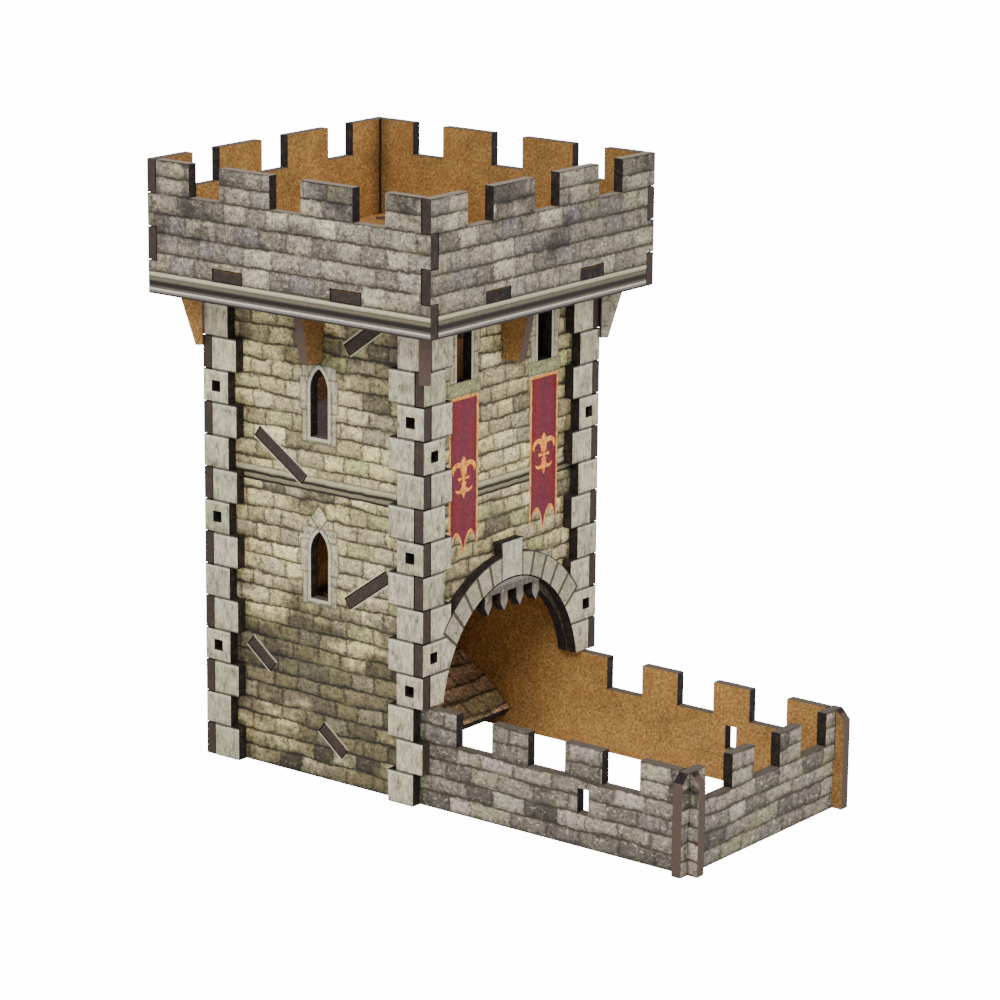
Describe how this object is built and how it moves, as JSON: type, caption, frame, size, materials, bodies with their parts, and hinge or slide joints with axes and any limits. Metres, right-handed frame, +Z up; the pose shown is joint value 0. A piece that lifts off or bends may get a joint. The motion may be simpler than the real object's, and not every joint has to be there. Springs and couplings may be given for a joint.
{
  "type": "dice tower",
  "caption": "Castle-shaped dice tower of slotted hardboard, with sloped baffles inside, a battlemented crown and a walled dice tray.",
  "frame": {"origin": "centre of the bounding box on the table the tower stands on", "axes": "+Z up, -Y out of the doorway along the dice tray, +X to the right for someone who looks towards +Y, at the doorway"},
  "size_m": [0.1, 0.1788, 0.1718],
  "materials": {
    "printed_wall_stone": "3 mm hardboard with a printed rubble-stone face, matte",
    "printed_quoin_stone": "3 mm hardboard with a printed dressed-stone face, matte",
    "printed_crown_stone": "3 mm hardboard with a printed stone face, matte",
    "printed_tray_stone": "3 mm hardboard with a printed stone face, matte",
    "printed_portcullis": "3 mm hardboard with a printed grey face, matte",
    "bare_hardboard": "bare smooth hardboard with charred laser-cut edges"
  },
  "bodies": {
    "tower": {"left_side_board": "printed_wall_stone", "right_side_board": "printed_wall_stone", "front_wall": "printed_wall_stone", "back_wall": "printed_wall_stone", "upper_baffle": "bare_hardboard", "middle_baffle": "bare_hardboard", "lower_baffle": "bare_hardboard", "exit_ramp": "printed_tray_stone", "left_quoin_strip_front": "printed_quoin_stone", "left_quoin_strip_back": "printed_quoin_stone", "right_quoin_strip_front": "printed_quoin_stone", "right_quoin_strip_back": "printed_quoin_stone", "back_quoin_strip_left": "printed_quoin_stone", "back_quoin_strip_right": "printed_quoin_stone", "front_facing": "printed_quoin_stone", "portcullis": "printed_portcullis", "crown_front_wall": "printed_crown_stone", "crown_back_wall": "printed_crown_stone", "crown_left_wall": "printed_crown_stone", "crown_right_wall": "printed_crown_stone", "crown_floor": "bare_hardboard", "front_corbel": "bare_hardboard", "back_corbel": "bare_hardboard", "left_corbel": "bare_hardboard", "right_corbel": "bare_hardboard", "front_left_corner_corbel": "printed_quoin_stone", "front_right_corner_corbel": "printed_quoin_stone", "back_left_corner_corbel": "printed_quoin_stone", "back_right_corner_corbel": "printed_quoin_stone"},
    "end_wall": {"tray_end_wall": "printed_tray_stone"}
  },
  "joints": [
    {"name": "end_wall_lift", "type": "slide", "parent": "tower", "child": "end_wall", "axis": [0, 0, 1], "range_m": [0, 0.03]}
  ]
}
